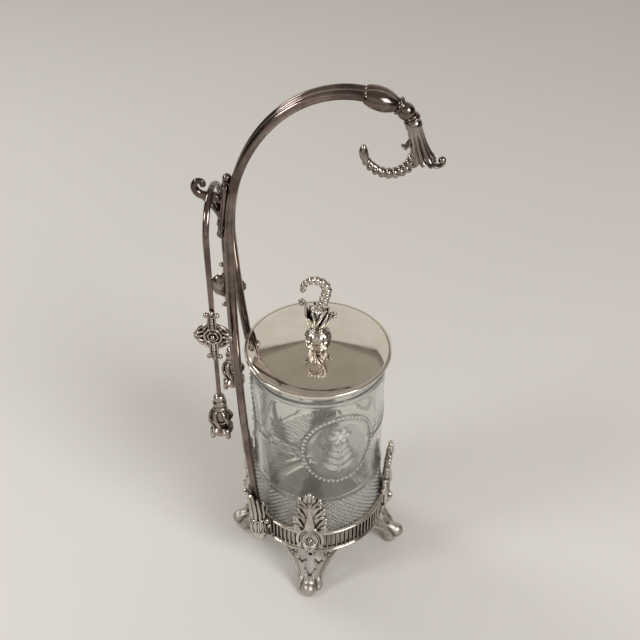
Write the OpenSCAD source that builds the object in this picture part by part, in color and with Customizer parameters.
// Pickle castor: a silver-plated stand with a pressed-glass jar, a lift-off lid and hanging tongs.
// Units are millimetres. The origin is on the jar's axis at table level, +Z is up, the handle's
// arch lies in the X-Z plane, the tongs hang on the -X side and the front foot points to -Y.

/* [Jar] */
// Outer diameter of the jar's plain body
jar_d = 77.2; // [66:0.1:84]
// Height of the jar from its foot to its mouth
jar_h = 127.5; // [110:0.5:140]
// Wall thickness of the glass
jar_wall = 4; // [3:0.1:5.5]
// Thickness of the jar's floor
jar_floor = 6; // [4:0.1:9]
// Height of the pointed band at the foot of the jar
jar_band_h = 42; // [30:0.5:55]
// How far the pointed band and the mouth ridge stand proud of the body
jar_proud = 0.8; // [0.4:0.1:1.2]
// Height of the plain collar above the mouth ridge
jar_collar_h = 7; // [4:0.5:12]

/* [Lid] */
// How far the lid reaches past the jar's body all round
lid_over = 3; // [2.6:0.1:4.2]
// Rise of the lid's cone from its edge to its point
lid_rise = 6; // [4:0.5:10]
// Thickness of the lid's sheet
lid_t = 1.2; // [0.8:0.1:1.8]
// Diameter of the lid's rolled edge
lid_edge_d = 2.4; // [1.8:0.1:3]
// Depth of the flange that drops into the jar's mouth
flange_h = 6; // [3:0.5:10]
// Thickness of the flange and of its seat
flange_t = 1.2; // [0.8:0.1:2]
// Clearance between the flange and the jar's mouth
flange_gap = 0.6; // [0.3:0.1:1.2]

/* [Finial] */
// Diameter of the cushion on the lid's point
cushion_d = 14.6; // [11:0.1:17]
// Height of the cushion above the lid's point
cushion_h = 6.9; // [5:0.1:8.5]
// Diameter of the finial's threaded stud
stud_d = 3; // [2.4:0.1:4]
// Width across the flats of the nut under the lid
nut_w = 7; // [6:0.1:9]
// Thickness of the nut
nut_t = 2.6; // [2:0.1:4]
// Height of the leaf cup
cup_h = 15.5; // [13:0.1:18]
// Diameter of the leaf cup at its widest
cup_d = 12.8; // [11:0.1:14]
// Radius of the curled tail's centre line
curl_r = 6.5; // [6:0.1:8]
// Diameter of the tail's first bead
curl_bead_d = 5.4; // [4.8:0.1:6.2]

/* [Tray and gallery] */
// Height of the tray's underside above the table
tray_z = 28; // [24:0.5:34]
// Thickness of the tray
tray_t = 1.6; // [1.2:0.1:2.4]
// Height of the gallery above the tray's top
gallery_h = 16.3; // [13:0.1:22]
// Thickness of the gallery's wall
gallery_t = 1.4; // [1.2:0.1:2]
// Clearance between the jar and the gallery
jar_gap = 0.5; // [0.3:0.1:1.2]
// Diameter of the rim wires
rim_d = 2; // [1.6:0.1:2.6]
// Number of flutes that a full turn of the gallery would hold
flute_count = 88; // [60:1:96]
// Width of a flute
flute_w = 2; // [1.4:0.1:2.2]
// Depth of a flute
flute_deep = 0.5; // [0.3:0.05:0.7]

/* [Feet] */
// How far the toe's centre lies outside the gallery
toe_reach = 11.4; // [9:0.1:14]
// Diameter of the middle toe
toe_d = 10; // [8:0.1:13]
// Diameter of the two side toes
side_toe_d = 7; // [5:0.1:9]
// Distance from the middle toe to each side toe
side_toe_x = 6; // [5:0.1:8]
// How much of the middle toe is flattened to stand on
toe_flat = 0.6; // [0.4:0.1:1.2]
// Width of the leg where it meets the tray
leg_top_w = 38.5; // [30:0.5:42]
// Width of the leg at its ankle
leg_low_w = 15; // [12:0.5:18]
// How hollow the leg's sides are: 1 is straight
leg_flare = 1.6; // [1:0.1:2.5]
// Thickness of the leg
leg_t = 2.8; // [2.2:0.1:3.6]
// Diameter of the middle hole of the leg's pierced leaf
leaf_d = 7; // [4:0.1:8]

/* [Masks and crests] */
// Width of a mask
mask_w = 20; // [16:0.5:22]
// How far a mask stands out from the gallery
mask_proud = 5.6; // [5:0.1:7]
// Height of a crest above the gallery's rim
crest_h = 39; // [28:0.5:44]
// Width of a crest
crest_w = 21; // [17:0.2:23]
// Thickness of a crest
crest_t = 2.4; // [1.8:0.1:3]
// Outward lean of a crest in degrees
crest_lean = 2; // [0:0.5:5]

/* [Handle] */
// Height of the top of the handle's arch
handle_h = 317; // [300:0.5:340]
// Diameter of each rod along the arch
rod_d = 5; // [4.2:0.1:5.6]
// Diameter of each rod at its foot
rod_foot_d = 4.4; // [3.6:0.1:5]
// Clearance between the rods and the lid's edge
rod_gap = 1.5; // [1:0.1:2.5]
// Gap between the two rods along the arch
rod_pair_gap = 0.8; // [0.4:0.1:2]
// Angle between each rod's foot and the handle's plane
rod_spread = 45; // [38:0.5:52]
// Height at which the rods start to bend into the arch
shoulder_z = 232; // [215:0.5:240]
// How far the top of the arch lies past the jar's axis
arch_past = 14.3; // [6:0.1:18]
// How far the rods run on past the top of the arch
arch_run = 7.7; // [6:0.1:10]
// Diameter of the boss that holds a rod's foot
socket_d = 9; // [7.5:0.1:11]
// Depth of the rod in its socket
socket_deep = 10; // [6:0.5:14]
// Height of the leaf on a socket above the gallery's rim
socket_leaf_h = 23; // [15:0.5:28]

/* [Handle end] */
// Length of the gadrooned bulb
bulb_l = 15.4; // [13:0.1:18]
// Diameter of the gadrooned bulb
bulb_d = 12.6; // [12:0.1:15]
// Length of each rod inside the bulb
bulb_grip = 5; // [3:0.1:8]
// Diameter of the ball
ball_d = 8; // [7:0.1:9]
// Diameter of the two collars
collar_d = 8.6; // [7.6:0.1:10]
// Thickness of the two collars
collar_t = 1.6; // [1.2:0.1:2.2]
// Length of the bell flower
bell_l = 22.5; // [19:0.1:25]
// Diameter of the bell flower's mouth
bell_d = 14.6; // [12:0.1:16]
// Radius of the beaded tail's centre line
tail_r = 12.3; // [10:0.1:14]
// Diameter of the tail's first bead
tail_bead_d = 6.2; // [5.4:0.1:7]

/* [Tongs bracket] */
// Height of the middle of the bracket's plate
bracket_z = 248; // [244:0.5:252]
// Length of the plate
bracket_l = 30; // [26:0.5:34]
// Width of the plate
bracket_w = 10; // [8:0.1:12]
// Thickness of the plate
bracket_t = 2.2; // [1.8:0.1:3]
// Thickness of the hook
hook_w = 5; // [4:0.1:6]
// Depth of the hook's bar
hook_bar_h = 4.6; // [3.6:0.1:5.6]
// Diameter of the hook's curled end
hook_curl_d = 7; // [6:0.1:9]

/* [Tongs] */
// Distance of the tongs from the rods
tongs_off = 4.4; // [3.6:0.1:7]
// Width across the arms at rest
tongs_w = 43; // [40:0.5:48]
// Overall length of the tongs
tongs_l = 156; // [140:1:170]
// Width of the tongs' strip
strip_w = 3.4; // [2.8:0.1:4]
// Thickness of the tongs' strip
strip_t = 1.8; // [1.4:0.1:2.2]
// Width of the cross ornament
cross_w = 20; // [16:0.2:20.4]
// Height of the cross ornament
cross_h = 34; // [28:0.5:38]
// Thickness of the cross ornament
cross_t = 2.4; // [1.8:0.1:3]
// Height of the knob and claw together
claw_h = 32; // [26:0.5:36]
// Diameter of the claw
claw_d = 15; // [12:0.1:16]
// Diameter of the knob above the claw
knob_d = 8; // [6.5:0.1:9.5]

/* [Hidden] */
$fn = 48;
bright = "#d8d2c4";
tarnish = "#6e5f5c";
clear_glass = "#cfd8d2";
slack = 0.1;

// Radii about the jar's axis
jar_r = jar_d / 2;
jar_in_r = jar_r - jar_wall;
jar_max_r = jar_r + jar_proud;
gallery_in_r = jar_max_r + jar_gap;
gallery_r = gallery_in_r + gallery_t;
lid_r = jar_r + lid_over;
rod_ring_r = max(lid_r, gallery_r + rim_d / 2) + rod_gap + rod_d / 2;
toe_r = gallery_r + toe_reach;

// Levels above the table
tray_top = tray_z + tray_t;
rim_z = tray_top + gallery_h;
jar_top = tray_top + jar_h;

// Lid cone, written as the height of its underside at a radius
lid_slope = lid_rise / lid_r;
lid_drop = lid_t * sqrt(1 + lid_slope * lid_slope);
function lid_under(r) = jar_top + flange_t + (jar_r - r) * lid_slope;
function lid_over_z(r) = lid_under(r) + lid_drop;
lid_point = lid_over_z(0);
cushion_top = lid_point + cushion_h;
cushion_neck_r = cushion_d * 0.27;
cup_top = cushion_top + cup_h;

// Downward tilts of the handle's end pieces in the X-Z plane, and a step along a tilt
bulb_tilt = 18;
ball_tilt = 46;
bell_tilt = 73;
function along(p, tilt, l) = p + l * [cos(tilt), 0, -sin(tilt)];

// Handle path: up the cylinder of the lid's clearance, then a quarter ellipse and a short run down
pair_y = (rod_d + rod_pair_gap) / 2;
shoulder_a = asin(pair_y / rod_ring_r);
arch_x = -rod_ring_r * cos(shoulder_a);
arch_a = arch_past - arch_x;
arch_b = handle_h - rod_d / 2 - shoulder_z;
arch_end_t = acos(arch_run / arch_a);
boss_over = 2;
rod_rise = 8;
rod_low_z = rim_z + rod_rise;
rod_end_z = rim_z + boss_over - socket_deep;
rod_sides = 16;
climb_steps = 26;
arch_steps = 26;
arch_end = [arch_past + arch_run, 0, shoulder_z + arch_b * sin(arch_end_t)];

function climb_point(s) =
    let (a = shoulder_a + (rod_spread - shoulder_a) * pow(1 - s, 1.1))
    [-rod_ring_r * cos(a), -rod_ring_r * sin(a), rod_low_z + (shoulder_z - rod_low_z) * s];
function arch_point(s) =
    let (t = 180 - (180 - arch_end_t) * s)
    [arch_past + arch_a * cos(t), -pair_y, shoulder_z + arch_b * sin(t)];
rod_foot = climb_point(0);
rod_path = concat(
    [[rod_foot.x, rod_foot.y, rod_end_z]],
    [for (i = [0:climb_steps - 1]) climb_point(i / climb_steps)],
    [for (i = [0:arch_steps]) arch_point(i / arch_steps)],
    [along(arch_point(1), bulb_tilt, bulb_grip)]
);

// Handle end: each piece starts where the last one stops
bulb_end = along(arch_end, bulb_tilt, bulb_l);
collar_end = along(bulb_end, bulb_tilt, collar_t);
ball_at = along(collar_end, ball_tilt, ball_d / 2 - 0.6);
bell_start = along(ball_at, ball_tilt + 6, ball_d / 2 + collar_t - 0.4);
bell_end = along(bell_start, bell_tilt, bell_l);
tail_centre = bell_end + [-tail_r - bell_d * 0.29, 0, tail_bead_d * 0.75];
tail_beads = 14;

// Tongs bracket, tangent to the back of the rods, then the hook and the tongs that hang on it
function arch_out(z) = arch_past - arch_a * sqrt(1 - pow((z - shoulder_z) / arch_b, 2)) - rod_d / 2;
bracket_x = arch_out(bracket_z);
bracket_lean = atan2(arch_out(bracket_z + 8) - arch_out(bracket_z - 8), 16);
solder = 0.3;
claw_gap = 0.6;
rods_beside_claws_x = -rod_ring_r * cos(rod_spread / 2) - rod_d / 2;
tongs_x = min(bracket_x - bracket_t - tongs_off, rods_beside_claws_x - claw_gap - claw_d / 2);
bow_r = tongs_w / 2;
saddle_z = bracket_z + bracket_l * 0.3;
bow_in_r = bow_r - strip_t;
hang_gap = 0.3;
bow_lift = hang_gap + bow_in_r - sqrt(pow(bow_in_r, 2) - pow(hook_w / 2, 2));
bow_z = saddle_z + bow_lift - bow_in_r;
hinge_gap = 0.3;
tongs_end = saddle_z + bow_lift + strip_t - tongs_l;
claw_top = tongs_end + claw_h;
cross_drop = 6;
cross_z = (bow_z + claw_top) / 2 - cross_drop;
arm_mid_y = bow_r - strip_t / 2;

// Shared helpers

// Turns a piece modelled at the front foot to another place round the ring
module on_ring(a) rotate([0, 0, a]) children();

// Extrudes an upright outline outward at the front, between two radii
module outward(from_r, to_r) {
    translate([0, -from_r, 0]) rotate([90, 0, 0]) linear_extrude(to_r - from_r) children();
}

// Puts a piece modelled along +Z at a point, pointing along a downward tilt in the X-Z plane
module tilted(p, tilt) translate(p) rotate([0, 90 + tilt, 0]) children();

// A closed tube along a path with a radius at each point, and a given direction at its end
function unit(v) = v / norm(v);
function path_dir(p, i, last) =
    i == len(p) - 1 ? last : i == 0 ? unit(p[1] - p[0]) : unit(p[i + 1] - p[i - 1]);
module tube(p, radii, last, sides) {
    rings = [
        for (i = [0:len(p) - 1])
            let (t = path_dir(p, i, last), s = unit([0, 1, 0] - t.y * t), n = cross(t, s))
            [for (k = [0:sides - 1])
                p[i] + radii[i] * (cos(360 * k / sides) * s + sin(360 * k / sides) * n)]
    ];
    count = len(p) * sides;
    points = concat([for (r = rings) for (q = r) q], [p[0], p[len(p) - 1]]);
    sides_faces = [
        for (i = [0:len(p) - 2]) for (k = [0:sides - 1])
            let (a = i * sides + k, b = i * sides + (k + 1) % sides)
            each [[a, a + sides, b], [b, a + sides, b + sides]]
    ];
    ends = [
        for (k = [0:sides - 1])
            let (a = k, b = (k + 1) % sides, top = count - sides)
            each [[count, a, b], [count + 1, top + b, top + a]]
    ];
    polyhedron(points, concat(sides_faces, ends));
}

// A ring turned round the jar's axis with a round section
module wire_ring(r, z, d) rotate_extrude() translate([r, z]) circle(d = d);

// Tray and gallery

module tray() color(bright) translate([0, 0, tray_z]) cylinder(r = gallery_r, h = tray_t, $fn = 96);

// The flutes stop short of each mask and socket
mask_half_a = asin(mask_w / 2 / gallery_r) + 1.5;
socket_half_a = asin(socket_d / 2 / gallery_r) + 3;
function near(a, b, half) = abs((a - b + 540) % 360 - 180) < half;
function covered(a) =
    near(a, 0, mask_half_a) || near(a, 90, mask_half_a) || near(a, 180, mask_half_a)
    || near(a, 270, mask_half_a)
    || near(a, 270 - rod_spread, socket_half_a) || near(a, 270 + rod_spread, socket_half_a);

module gallery_wall() color(bright) difference() {
    translate([0, 0, tray_top]) cylinder(r = gallery_r, h = gallery_h - rim_d, $fn = 96);
    translate([0, 0, tray_top - 1]) cylinder(r = gallery_in_r, h = gallery_h + 2, $fn = 96);
    for (i = [0:flute_count - 1])
        let (a = i * 360 / flute_count)
        if (!covered(a))
            on_ring(a) translate([-flute_w / 2, -gallery_r - 1, tray_top + rim_d])
                cube([flute_w, 1 + flute_deep, gallery_h - 3 * rim_d]);
}

module gallery_top_rim() color(bright)
    rotate_extrude($fn = 96) difference() {
        union() {
            translate([gallery_in_r, rim_z - rim_d]) square([gallery_t, rim_d]);
            translate([gallery_r, rim_z - rim_d / 2]) circle(d = rim_d);
        }
        translate([gallery_in_r - rim_d, rim_z - 2 * rim_d]) square([rim_d, 3 * rim_d]);
    }

module gallery_foot_rim() color(bright)
    rotate_extrude($fn = 96) difference() {
        translate([gallery_r, tray_z + rim_d / 2]) circle(d = rim_d);
        translate([gallery_r - rim_d, tray_z - rim_d]) square([rim_d, 3 * rim_d]);
    }

// Feet

ankle_z = tray_z * 0.3;
function leg_line(s) =
    pow(1 - s, 2) * [gallery_r - leg_t / 2 - slack, tray_z]
    + 2 * s * (1 - s) * [gallery_r + 1, tray_z * 0.5]
    + s * s * [toe_r - toe_d * 0.15, toe_d * 0.45];
function leg_normal(s) =
    let (d = leg_line(min(s + 0.01, 1)) - leg_line(max(s - 0.01, 0)))
    [-d.y, d.x] / norm(d);
leg_steps = 8;
function leg_side(side) =
    [for (i = [0:leg_steps]) let (s = i / leg_steps) leg_line(s) + side * leg_t / 2 * leg_normal(s)];
function leg_half(z) =
    leg_low_w / 2
    + (leg_top_w - leg_low_w) / 2 * pow(max(z - ankle_z, 0) / (tray_z - ankle_z), leg_flare);

module leg_outline() {
    levels = [for (i = [0:10]) ankle_z + (tray_z - ankle_z) * i / 10];
    polygon(concat(
        [[-leg_low_w / 2, 0], [leg_low_w / 2, 0]],
        [for (z = levels) [leg_half(z), z]],
        [for (i = [10:-1:0]) [-leg_half(levels[i]), levels[i]]]
    ));
}

// Pierced leaf with three lobes and a point
module leaf_hole() {
    leaf_z = ankle_z + (tray_z - ankle_z) * 0.52;
    translate([0, leaf_z]) circle(d = leaf_d);
    for (side = [-1, 1])
        translate([side * leaf_d * 0.62, leaf_z + leaf_d * 0.3]) circle(d = leaf_d * 0.66);
    polygon([
        [-leaf_d * 0.4, leaf_z - leaf_d * 0.3],
        [0, leaf_z - leaf_d],
        [leaf_d * 0.4, leaf_z - leaf_d * 0.3]
    ]);
}

module foot() color(bright) {
    toe_z = toe_d / 2 - toe_flat;
    side_z = side_toe_d / 2 + 0.2;
    intersection() {
        union() {
            difference() {
                intersection() {
                    rotate_extrude($fn = 96)
                        polygon(concat(leg_side(1), [for (i = [leg_steps:-1:0]) leg_side(-1)[i]]));
                    outward(gallery_in_r - 3, toe_r + toe_d) leg_outline();
                }
                outward(gallery_in_r - 3, toe_r) leaf_hole();
            }
            translate([0, -toe_r, toe_z]) sphere(d = toe_d);
            for (side = [-1, 1])
                translate([side * side_toe_x, -toe_r + toe_d * 0.42, side_z]) sphere(d = side_toe_d);
        }
        translate([-leg_top_w, -toe_r - toe_d, 0]) cube([2 * leg_top_w, toe_r + toe_d, tray_z]);
    }
}
module foot_front() on_ring(0) foot();
module foot_right() on_ring(90) foot();
module foot_back() on_ring(180) foot();
module foot_left() on_ring(270) foot();

// Masks: a rounded face under an arched hood, cut to sit on the gallery's wall and rims

mask_base_z = tray_z + rim_d;
mask_mid_z = (mask_base_z + rim_z) / 2;
module ring_blank() {
    translate([0, 0, tray_z - 1]) cylinder(r = gallery_r, h = rim_z + 2 - tray_z, $fn = 96);
    wire_ring(gallery_r, tray_z + rim_d / 2, rim_d, $fn = 96);
    wire_ring(gallery_r, rim_z - rim_d / 2, rim_d, $fn = 96);
}

module mask() color(bright) {
    cap_h = mask_proud - 1;
    cap_r = (pow(mask_w / 2, 2) + cap_h * cap_h) / (2 * cap_h);
    hood_r = mask_w * 0.4;
    difference() {
        intersection() {
            union() {
                translate([0, -gallery_r - cap_h + cap_r, mask_mid_z]) sphere(r = cap_r, $fn = 96);
                outward(gallery_in_r, gallery_r + mask_proud - 0.6)
                    difference() {
                        translate([0, mask_mid_z - 1]) circle(r = hood_r + 1);
                        translate([0, mask_mid_z - 1]) circle(r = hood_r - 0.8);
                        translate([-mask_w, mask_mid_z - mask_w - 1]) square([2 * mask_w, mask_w]);
                    }
                outward(gallery_in_r, gallery_r + mask_proud)
                    polygon([[-1.8, mask_mid_z - 2], [1.8, mask_mid_z - 2], [0.7, mask_mid_z + 3.4],
                        [-0.7, mask_mid_z + 3.4]]);
            }
            translate([-mask_w / 2, -gallery_r - mask_proud, mask_base_z])
                cube([mask_w, mask_proud + gallery_t + 4, rim_z - mask_base_z]);
        }
        ring_blank();
    }
}
module mask_front() on_ring(0) mask();
module mask_right() on_ring(90) mask();
module mask_back() on_ring(180) mask();
module mask_left() on_ring(270) mask();

// Crests: a palmette with a tapering stem and six pairs of lobes, standing on the mask

crest_lobes = 6;
module palmette_stem(w, h) {
    polygon([[-w * 0.2, 0], [w * 0.2, 0], [w * 0.08, h - w * 0.1], [-w * 0.08, h - w * 0.1]]);
    translate([0, h - w * 0.11]) circle(r = w * 0.11);
}
module palmette_lobe(w, lobe_r, reach) {
    translate([reach, 0]) circle(r = lobe_r);
    polygon([
        [w * 0.05, -lobe_r * 1.2],
        [reach, -lobe_r * 0.9],
        [reach, lobe_r * 0.9],
        [w * 0.05, lobe_r * 0.4]
    ]);
}
module palmette(w, h, lobes, t) {
    outward(0, t) palmette_stem(w, h);
    for (i = [0:lobes - 1]) {
        s = i / (lobes - 1);
        lobe_r = w * (0.16 - 0.05 * s);
        reach = w / 2 * (1 - 0.46 * pow(s, 2.4)) - lobe_r;
        for (side = [0, 1])
            outward(0, t) translate([0, h * (0.13 + 0.72 * s)]) mirror([side, 0])
                palmette_lobe(w, lobe_r, reach);
    }
}

module crest() color(bright) {
    stand_r = gallery_r - rim_d / 4;
    translate([0, -stand_r, rim_z]) difference() {
        rotate([crest_lean, 0, 0]) translate([0, 0, -1])
            palmette(crest_w, crest_h + 1, crest_lobes, crest_t);
        translate([-crest_w, -2 * crest_t, -crest_t]) cube([2 * crest_w, 3 * crest_t, crest_t]);
    }
}
module crest_front() on_ring(0) crest();
module crest_right() on_ring(90) crest();
module crest_back() on_ring(180) crest();
module crest_left() on_ring(270) crest();

// Rod sockets: a bored boss on the gallery with a leaf that hides the rod's foot

module socket() color(bright) {
    boss_top = rim_z + boss_over;
    leaf_r = rod_ring_r + rod_d / 2 + 0.6;
    leaf_w = crest_w * 0.7;
    difference() {
        union() {
            translate([0, -rod_ring_r, mask_base_z])
                cylinder(d = socket_d, h = boss_top - mask_base_z);
            translate([0, -rod_ring_r, mask_base_z]) sphere(d = socket_d);
            translate([-socket_d / 2, -rod_ring_r, mask_base_z + 1])
                cube([socket_d, rod_ring_r - gallery_in_r, rim_z - mask_base_z - 2]);
            translate([0, -leaf_r, rim_z - 8]) rotate([8, 0, 0])
                palmette(leaf_w, socket_leaf_h + 8, 4, crest_t);
        }
        ring_blank();
        translate([0, -rod_ring_r, rod_end_z])
            cylinder(d = rod_foot_d + 2 * slack, h = 2 * socket_leaf_h);
        translate([-socket_d, -rod_ring_r - rod_d / 2 - slack, boss_top])
            cube([2 * socket_d, rod_d + 2 * slack, 2 * socket_leaf_h]);
    }
}
module rod_socket_front() on_ring(270 + rod_spread) socket();
module rod_socket_back() on_ring(270 - rod_spread) socket();

// Handle rods

module rod() color(tarnish) {
    last = len(rod_path) - 1;
    radii = [for (i = [0:last]) (rod_foot_d + (rod_d - rod_foot_d) * min(1, i / climb_steps)) / 2];
    tube(rod_path, radii, [cos(bulb_tilt), 0, -sin(bulb_tilt)], rod_sides);
}
module handle_rod_front() rod();
module handle_rod_back() mirror([0, 1, 0]) rod();

// Handle end: bulb, collar, ball, collar, bell flower and beaded tail

module bulb_shape() tilted(arch_end, bulb_tilt) rotate_extrude() {
    start_r = bulb_d * 0.3;
    end_r = collar_d * 0.42;
    steps = 10;
    swell = bulb_d / 2 - (start_r + end_r) / 2;
    polygon(concat(
        [[0, 0]],
        [for (i = [0:steps]) let (s = i / steps)
            [start_r + (end_r - start_r) * s + swell * pow(sin(180 * pow(s, 0.85)), 0.8), bulb_l * s]],
        [[0, bulb_l]]
    ));
}
module terminal_bulb() color(tarnish) difference() {
    bulb_shape();
    for (side = [-1, 1])
        tilted(arch_end + [0, side * pair_y, 0], bulb_tilt)
            translate([0, 0, -rod_d]) cylinder(d = rod_d + 2 * slack, h = rod_d + bulb_grip);
}

module collar_shape(p, tilt) tilted(p, tilt) rotate_extrude() {
    square([collar_d / 2 - collar_t / 2, collar_t]);
    translate([collar_d / 2 - collar_t / 2, collar_t / 2]) circle(d = collar_t);
}
module upper_collar_shape() collar_shape(bulb_end, bulb_tilt);
module lower_collar_shape() collar_shape(along(bell_start, bell_tilt, -collar_t), bell_tilt);
module ball_shape() translate(ball_at) sphere(d = ball_d);

module terminal_upper_collar() color(tarnish) upper_collar_shape();
module terminal_ball() color(tarnish) difference() {
    ball_shape();
    upper_collar_shape();
}
module terminal_lower_collar() color(tarnish) difference() {
    lower_collar_shape();
    ball_shape();
}

module bell_shape() {
    steps = 8;
    throat_r = collar_d * 0.4;
    tilted(bell_start, bell_tilt) rotate_extrude() polygon(concat(
        [[0, 0]],
        [for (i = [0:steps]) let (s = i / steps)
            [throat_r + (bell_d / 2 - throat_r) * (0.55 * s + 0.45 * pow(s, 3)), bell_l * s]],
        [[0, bell_l * 0.8]]
    ));
}
module petal_shape() {
    petal_d = bell_d * 0.36;
    outer = bell_end + [bell_d * 0.3, 0, bell_d * 0.14];
    for (i = [0:3])
        translate(outer + petal_d * [0.31 * i, 0, 0.023 * i * i - 0.058 * i])
            sphere(d = petal_d * (1 - 0.077 * i));
    inner = bell_end + [-bell_d * 0.42, 0, -bell_d * 0.02];
    for (i = [0:3])
        translate(inner + petal_d * [-0.23 * i, 0, 0.42 * i]) sphere(d = petal_d * (0.88 - 0.135 * i));
}
module terminal_bell() color(tarnish) union() {
    bell_shape();
    petal_shape();
}

tail_from = -14;
tail_sweep = 176;
module tail_shape() {
    for (i = [0:tail_beads - 1]) {
        s = i / (tail_beads - 1);
        a = tail_from - tail_sweep * s;
        translate(tail_centre + tail_r * [cos(a), 0, sin(a)])
            sphere(d = tail_bead_d * (1 - 0.4 * s));
    }
}
module terminal_tail() color(tarnish) difference() {
    tail_shape();
    bell_shape();
    petal_shape();
}

// Tongs bracket

module bracket_frame() {
    translate([bracket_x + solder, 0, bracket_z]) rotate([0, bracket_lean, 0]) children();
}
module bracket_plate() color(tarnish) bracket_frame()
    translate([-bracket_t, -bracket_w / 2, -bracket_l / 2]) cube([bracket_t, bracket_w, bracket_l]);

module bracket_stud(end) color(tarnish) bracket_frame() difference() {
    translate([-bracket_t / 2, 0, end * (bracket_l / 2 + bracket_w * 0.22)]) sphere(d = bracket_w * 0.55);
    translate([-bracket_t, -bracket_w / 2, -bracket_l / 2]) cube([bracket_t, bracket_w, bracket_l]);
    translate([0, -bracket_w, -bracket_l]) cube([bracket_w, 2 * bracket_w, 2 * bracket_l]);
}
module bracket_stud_upper() bracket_stud(1);
module bracket_stud_lower() bracket_stud(-1);

// The hook's outline in the X-Z plane: bar, web and a curl that keeps the tongs on
hook_end_x = tongs_x - strip_w / 2 - 0.8 - hook_curl_d / 2;
module hook_outline() {
    bar_low = saddle_z - hook_bar_h;
    plate_x = bracket_x + 4;
    curl_z = saddle_z + hook_curl_d * 0.2;
    difference() {
        union() {
            translate([hook_end_x, bar_low]) square([plate_x - hook_end_x, hook_bar_h]);
            translate([hook_end_x, saddle_z - hook_bar_h / 2]) circle(d = hook_bar_h);
            translate([hook_end_x, curl_z]) circle(d = hook_curl_d);
            polygon([
                [tongs_x, bar_low + 0.5],
                [plate_x, bracket_z - bracket_l * 0.4],
                [plate_x, bar_low + 0.5]
            ]);
        }
        translate([hook_end_x + 0.4, curl_z + 0.3]) circle(d = hook_curl_d * 0.34);
    }
}
module bracket_hook() color(tarnish) difference() {
    translate([0, hook_w / 2, 0]) rotate([90, 0, 0]) linear_extrude(hook_w) hook_outline();
    bracket_frame() translate([-bracket_t, -bracket_w, -bracket_l])
        cube([4 * bracket_t + 12, 2 * bracket_w, 2 * bracket_l]);
}

// Jar

module jar() color(clear_glass) translate([0, 0, tray_top]) rotate_extrude($fn = 96) {
    foot_r = jar_r - 2;
    ridge_z = jar_h - jar_collar_h;
    polygon([
        [0, 1.2],
        [foot_r - 4, 1.2],
        [foot_r - 3, 0],
        [foot_r, 0],
        [jar_max_r, 3],
        [jar_max_r, jar_band_h - 1],
        [jar_r, jar_band_h],
        [jar_r, ridge_z - 1],
        [jar_max_r - 0.2, ridge_z - 0.5],
        [jar_max_r - 0.2, ridge_z + 0.5],
        [jar_r, ridge_z + 1],
        [jar_r, jar_h - 0.6],
        [jar_r - 0.6, jar_h],
        [jar_in_r, jar_h],
        [jar_in_r, jar_floor + 4],
        [jar_in_r - 4, jar_floor],
        [0, jar_floor]
    ]);
}

// Lid

module lid_shell() color(bright) rotate_extrude($fn = 96) {
    edge_r = lid_edge_d / 2;
    edge_at = lid_r - edge_r;
    hole_r = stud_d / 2 + slack;
    polygon([
        [hole_r, lid_under(hole_r)],
        [edge_at, lid_under(edge_at)],
        [edge_at, lid_over_z(edge_at)],
        [hole_r, lid_over_z(hole_r)]
    ]);
    translate([edge_at, (lid_under(edge_at) + lid_over_z(edge_at)) / 2]) circle(r = edge_r);
}

module lid_flange() color(bright) rotate_extrude($fn = 96) {
    out_r = jar_in_r - flange_gap;
    in_r = out_r - flange_t;
    seat_r = jar_r - 0.8;
    polygon([
        [in_r, jar_top - flange_h],
        [out_r, jar_top - flange_h],
        [out_r, jar_top],
        [seat_r, jar_top],
        [seat_r, lid_under(seat_r)],
        [in_r, lid_under(in_r)]
    ]);
}

cushion_widest = 0.4;
function cushion_side(s) =
    cushion_neck_r
    + (cushion_d / 2 - cushion_neck_r) * sqrt(1 - pow((s - cushion_widest) / (1 - cushion_widest), 2));
module finial_cushion() color(bright) {
    steps = 10;
    base_z = lid_over_z(cushion_side(0));
    rotate_extrude() polygon(concat(
        [[0, lid_over_z(0)]],
        [for (i = [0:steps]) let (s = i / steps) [cushion_side(s), base_z + (cushion_top - base_z) * s]],
        [[0, cushion_top]]
    ));
    translate([0, 0, lid_under(0) - nut_t - 1.5]) cylinder(d = stud_d, h = nut_t + 1.5 + lid_drop + 1);
}

module finial_nut() color(bright) {
    nut_r = nut_w / 2 / cos(30);
    difference() {
        translate([0, 0, lid_under(nut_r) - nut_t])
            cylinder(r = nut_r, h = nut_t + nut_r * lid_slope, $fn = 6);
        translate([0, 0, lid_under(0) - nut_t - 3]) cylinder(d = stud_d + 2 * slack, h = nut_t + 6);
        translate([0, 0, lid_under(2 * nut_r)])
            difference() {
                translate([0, 0, -nut_t])
                    cylinder(r = 2 * nut_r - slack, h = 3 * nut_t + 2 * nut_r * lid_slope);
                translate([0, 0, -nut_t - 1]) cylinder(r = 2 * nut_r, h = nut_t + 1);
                cylinder(r1 = 2 * nut_r, r2 = 0, h = 2 * nut_r * lid_slope);
            }
    }
}

// Leaf cup with two leaf tips that rise from its side and end in a knob
module leaf_tip(foot, tilt, length) translate(foot) rotate([0, tilt, 0]) {
    cylinder(d1 = 3.4, d2 = 2, h = length);
    translate([0, 0, length]) sphere(d = 3.6);
}
module cup_shape() {
    steps = 10;
    foot_r = cushion_neck_r * 0.8;
    rotate_extrude() polygon(concat(
        [[0, cushion_top]],
        [for (i = [0:steps]) let (s = i / steps)
            [foot_r + (cup_d / 2 - foot_r) * sin(150 * s), cushion_top + cup_h * s]],
        [[0, cup_top]]
    ));
    leaf_tip([-cup_d * 0.38, 0, cup_top - cup_h * 0.45], -22, cup_h * 0.66);
    leaf_tip([cup_d * 0.34, 0, cup_top - cup_h * 0.55], 36, cup_h * 0.36);
}
module finial_cup() color(bright) cup_shape();

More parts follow.
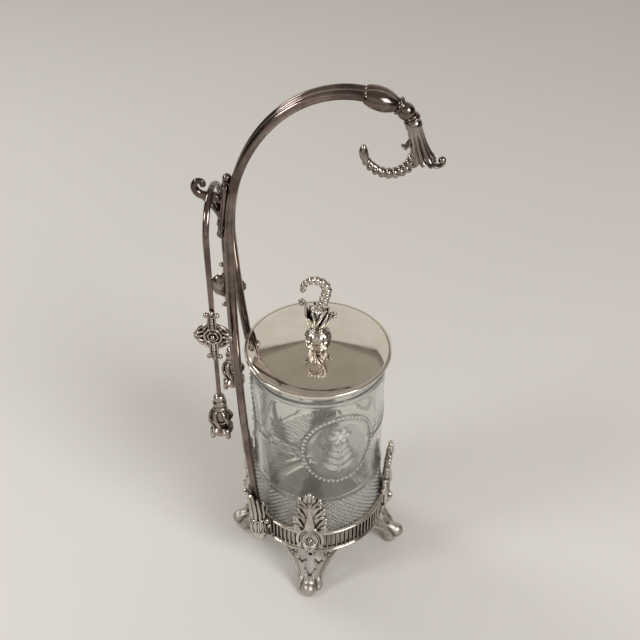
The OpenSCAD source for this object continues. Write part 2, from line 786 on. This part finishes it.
curl_beads = 14;
curl_centre = [-curl_r * 0.28, 0, cup_top + curl_r * 1.7];
curl_from = -15;
curl_sweep = 198;
curl_stem = 0.3;
function curl_arc(a) = curl_centre + curl_r * [cos(a), 0, sin(a)];
curl_foot = [curl_r * 0.5, 0, cup_top - 1];
function curl_at(s) =
    s < curl_stem
        ? curl_foot + (curl_arc(curl_from) - curl_foot) * s / curl_stem
        : curl_arc(curl_from + curl_sweep * (s - curl_stem) / (1 - curl_stem));
module finial_curl() color(bright) difference() {
    for (i = [0:curl_beads - 1]) {
        s = i / (curl_beads - 1);
        translate(curl_at(s)) sphere(d = curl_bead_d * (1 - 0.46 * s));
    }
    cup_shape();
}

// Tongs

module tongs_bow() color(tarnish)
    translate([tongs_x - strip_w / 2, 0, bow_z]) rotate([90, 0, 90])
        rotate_extrude(angle = 180, $fn = 96) translate([bow_in_r, 0]) square([strip_t, strip_w]);

// The front arm is modelled on -Y and the back arm is its mirror image
module arm() color(tarnish)
    translate([tongs_x - strip_w / 2, -bow_r, claw_top])
        cube([strip_w, strip_t, bow_z - hinge_gap - claw_top]);
module tongs_arm_front() arm();
module tongs_arm_back() mirror([0, 1, 0]) arm();

module cross_outline() {
    side_r = cross_w * 0.2;
    square([strip_w, cross_h - 3], center = true);
    circle(d = cross_w * 0.56);
    for (end = [-1, 1]) {
        translate([0, end * (cross_h / 2 - strip_w * 0.75)]) circle(d = strip_w * 1.5);
        translate([end * (cross_w / 2 - side_r), 0]) circle(r = side_r);
        translate([0, end * cross_h * 0.27]) circle(d = strip_w * 2.1);
    }
}
module cross_plate() color(tarnish) {
    translate([tongs_x, 0, cross_z]) outward(bow_r, bow_r + cross_t) cross_outline();
    translate([tongs_x, 0, cross_z]) outward(bow_r, bow_r + cross_t + 1) circle(d = cross_w * 0.26);
}
module cross_front() cross_plate();
module cross_back() mirror([0, 1, 0]) cross_plate();

knob_h = claw_h * 0.34;
knob_low = claw_top - knob_h;
// Three beads on a swelling neck
module knob() color(tarnish) translate([tongs_x, -arm_mid_y, knob_low]) rotate_extrude() {
    steps = 18;
    polygon(concat(
        [[0, 0]],
        [for (i = [0:steps]) let (s = i / steps)
            [knob_d / 2 * (0.6 + 0.22 * sin(180 * s) + 0.18 * abs(sin(540 * s))), knob_h * s]],
        [[0, knob_h]]
    ));
}
module claw_knob_front() knob();
module claw_knob_back() mirror([0, 1, 0]) knob();

claw_toes = 4;
module claw() color(tarnish) translate([tongs_x, -arm_mid_y, knob_low]) {
    palm_h = claw_h - knob_h;
    toe_r = palm_h * 0.16;
    intersection() {
        union() {
            cylinder(d1 = claw_d * 0.5, d2 = knob_d * 0.7, h = palm_h * 0.3);
            translate([0, 0, -palm_h * 0.3]) sphere(d = claw_d * 0.72);
            for (k = [0:claw_toes - 1])
                rotate([0, 0, 45 + k * 360 / claw_toes])
                    for (i = [0:3])
                        translate([(claw_d / 2 - toe_r) * sin(40 + 40 * i), 0, -palm_h * (0.12 + 0.24 * i)])
                            sphere(r = toe_r);
        }
        translate([-claw_d, -claw_d, -palm_h]) cube([2 * claw_d, 2 * claw_d, palm_h]);
    }
}
module claw_front() claw();
module claw_back() mirror([0, 1, 0]) claw();

tray();
gallery_wall();
gallery_top_rim();
gallery_foot_rim();
foot_front();
foot_right();
foot_back();
foot_left();
mask_front();
mask_right();
mask_back();
mask_left();
crest_front();
crest_right();
crest_back();
crest_left();
rod_socket_front();
rod_socket_back();
handle_rod_front();
handle_rod_back();
terminal_bulb();
terminal_upper_collar();
terminal_ball();
terminal_lower_collar();
terminal_bell();
terminal_tail();
bracket_plate();
bracket_hook();
bracket_stud_upper();
bracket_stud_lower();
jar();
lid_shell();
lid_flange();
finial_cushion();
finial_nut();
finial_cup();
finial_curl();
tongs_bow();
tongs_arm_front();
tongs_arm_back();
cross_front();
cross_back();
claw_knob_front();
claw_knob_back();
claw_front();
claw_back();
